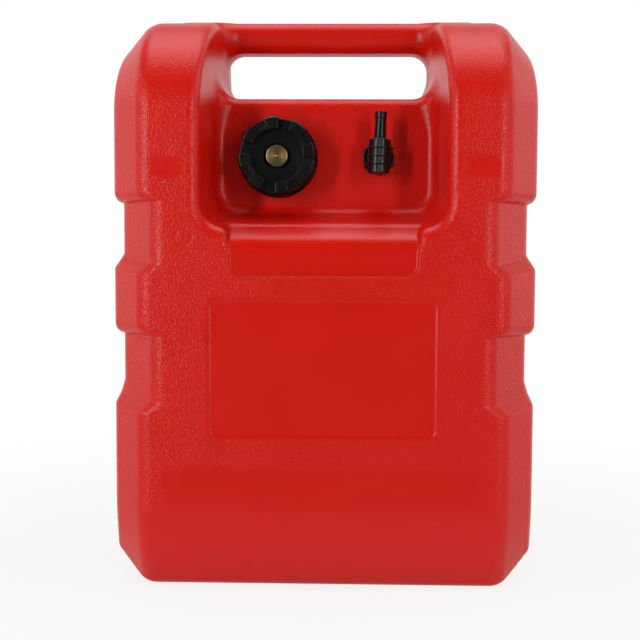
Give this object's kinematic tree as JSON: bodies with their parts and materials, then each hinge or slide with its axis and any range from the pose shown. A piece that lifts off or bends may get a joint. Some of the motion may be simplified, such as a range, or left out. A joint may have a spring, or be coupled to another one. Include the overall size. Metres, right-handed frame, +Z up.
{
  "type": "outboard fuel tank",
  "caption": "Portable moulded fuel tank with a carrying bar over a recess that holds a vented screw cap and a swivelling hose elbow.",
  "frame": {"origin": "middle of the base, on the ground", "axes": "+Z up towards the carrying bar, -Y out of the front with the cap, X across the width"},
  "size_m": [0.348, 0.23, 0.48],
  "materials": {
    "red_polyethylene": "moulded leather grain, satin",
    "black_nylon": "moulded, satin",
    "turned_brass": "turned",
    "nitrile_rubber": "matt",
    "white_nylon": "natural, satin",
    "steel_mesh": "fine woven mesh"
  },
  "bodies": {
    "tank": {"tank_shell": "red_polyethylene", "outlet_insert": "black_nylon", "outlet_gasket": "nitrile_rubber", "outlet_base": "black_nylon", "swivel_oring": "nitrile_rubber", "pickup_tube": "white_nylon", "strainer_frame": "white_nylon", "strainer_mesh": "steel_mesh"},
    "cap_carrier": {"cap_gasket": "nitrile_rubber"},
    "cap": {"filler_cap": "black_nylon", "vent_bush": "turned_brass"},
    "vent_carrier": {"vent_seal": "nitrile_rubber"},
    "vent": {"vent_screw": "turned_brass", "vent_washer": "nitrile_rubber"},
    "elbow": {"outlet_elbow": "black_nylon"}
  },
  "joints": [
    {"name": "cap_rise", "type": "slide", "parent": "tank", "child": "cap_carrier", "axis": [0, -1, 0], "range_m": [0, 0.012]},
    {"name": "cap_turn", "type": "hinge", "parent": "cap_carrier", "child": "cap", "pos_m": [-0.04, -0.05, 0.356], "axis": [0, -1, 0], "range_deg": [0, 720]},
    {"name": "vent_rise", "type": "slide", "parent": "cap", "child": "vent_carrier", "axis": [0, -1, 0], "range_m": [0, 0.003]},
    {"name": "vent_turn", "type": "hinge", "parent": "vent_carrier", "child": "vent", "pos_m": [-0.04, -0.05, 0.356], "axis": [0, -1, 0], "range_deg": [0, 1080]},
    {"name": "outlet_swivel", "type": "hinge", "parent": "tank", "child": "elbow", "pos_m": [0.045, -0.05, 0.356], "axis": [0, -1, 0], "continuous": true}
  ],
  "couplings": [
    {"joint": "cap_rise", "follows": "cap_turn", "m_per_rad": 0.000954},
    {"joint": "vent_rise", "follows": "vent_turn", "m_per_rad": 0.000159}
  ]
}
